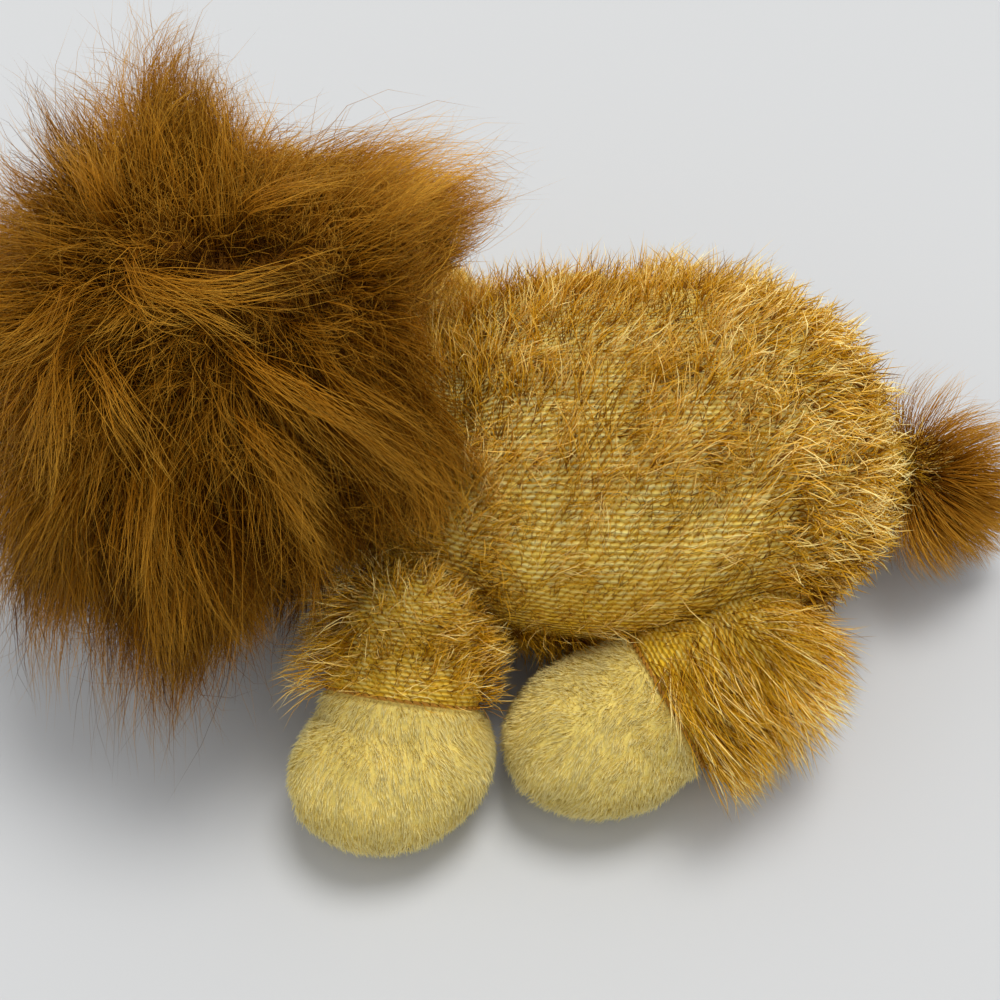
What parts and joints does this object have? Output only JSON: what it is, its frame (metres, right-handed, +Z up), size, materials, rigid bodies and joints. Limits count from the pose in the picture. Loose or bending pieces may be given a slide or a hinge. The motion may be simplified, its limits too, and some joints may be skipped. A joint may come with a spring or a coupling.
{
  "type": "plush lion",
  "caption": "Long-haired plush lion lying on its belly, with a shaggy body, a full brown mane turned aside, soft paws and a brush tail.",
  "frame": {"origin": "centre of the flat under the belly, on the floor", "axes": "+Z up, -X the way the body faces, -Y the lion's left side"},
  "size_m": [0.2012, 0.144, 0.1044],
  "materials": {
    "shaggy_gold": "knit-backed eyelash fabric, glossy gold fibres",
    "mane_brown": "long brown pile",
    "short_gold": "short golden plush",
    "paw_yellow": "short pale yellow plush",
    "cream": "short cream plush",
    "filling_white": "polyester filling",
    "pellet_cloth": "cotton bag of plastic pellets",
    "eye_black": "polished moulded plastic",
    "nose_black": "moulded plastic",
    "washer_white": "moulded plastic washer"
  },
  "bodies": {
    "torso": {"torso_left_panel": "shaggy_gold", "torso_right_panel": "shaggy_gold", "belly_panel": "shaggy_gold", "torso_stuffing": "filling_white", "pellet_bag": "pellet_cloth"},
    "head": {"mane": "mane_brown", "face_panel": "short_gold", "head_stuffing": "filling_white", "muzzle": "cream", "chin": "cream", "nose": "nose_black", "nose_washer": "washer_white", "eye_left": "eye_black", "eye_right": "eye_black", "eye_washer_left": "washer_white", "eye_washer_right": "washer_white", "ear_left": "short_gold", "ear_right": "short_gold", "ear_lining_left": "cream", "ear_lining_right": "cream"},
    "front_left_leg": {"front_left_sleeve": "shaggy_gold", "front_left_paw_upper": "paw_yellow", "front_left_paw_sole": "paw_yellow", "front_left_filling": "filling_white"},
    "front_right_leg": {"front_right_sleeve": "shaggy_gold", "front_right_paw_upper": "paw_yellow", "front_right_paw_sole": "paw_yellow", "front_right_filling": "filling_white"},
    "rear_left_leg": {"rear_left_sleeve": "shaggy_gold", "rear_left_paw_upper": "paw_yellow", "rear_left_paw_sole": "paw_yellow", "rear_left_filling": "filling_white"},
    "rear_right_leg": {"rear_right_sleeve": "shaggy_gold", "rear_right_paw_upper": "paw_yellow", "rear_right_paw_sole": "paw_yellow", "rear_right_filling": "filling_white"},
    "tail": {"tail_sleeve": "shaggy_gold", "tail_tuft": "mane_brown"}
  },
  "joints": [
    {"name": "neck_turn", "type": "hinge", "parent": "torso", "child": "head", "pos_m": [-0.074, 0, 0.06], "axis": [-0.7831, 0, 0.6219], "range_deg": [-25, 25], "stiffness_Nm_per_rad": 0.05},
    {"name": "front_left_hip", "type": "hinge", "parent": "torso", "child": "front_left_leg", "pos_m": [-0.043, -0.036, 0.0265], "axis": [0, 0, 1], "range_deg": [-30, 0], "stiffness_Nm_per_rad": 0.01},
    {"name": "front_right_hip", "type": "hinge", "parent": "torso", "child": "front_right_leg", "pos_m": [-0.043, 0.036, 0.0265], "axis": [0, 0, 1], "range_deg": [0, 30], "stiffness_Nm_per_rad": 0.01},
    {"name": "rear_left_hip", "type": "hinge", "parent": "torso", "child": "rear_left_leg", "pos_m": [0.019, -0.0385, 0.0225], "axis": [0, 0, 1], "range_deg": [0, 45], "stiffness_Nm_per_rad": 0.01},
    {"name": "rear_right_hip", "type": "hinge", "parent": "torso", "child": "rear_right_leg", "pos_m": [0.019, 0.0385, 0.0225], "axis": [0, 0, 1], "range_deg": [-45, 0], "stiffness_Nm_per_rad": 0.01},
    {"name": "tail_swing", "type": "hinge", "parent": "torso", "child": "tail", "pos_m": [0.0475, 0.003, 0.029], "axis": [0, 0, 1], "range_deg": [-30, 30], "stiffness_Nm_per_rad": 0.002}
  ]
}
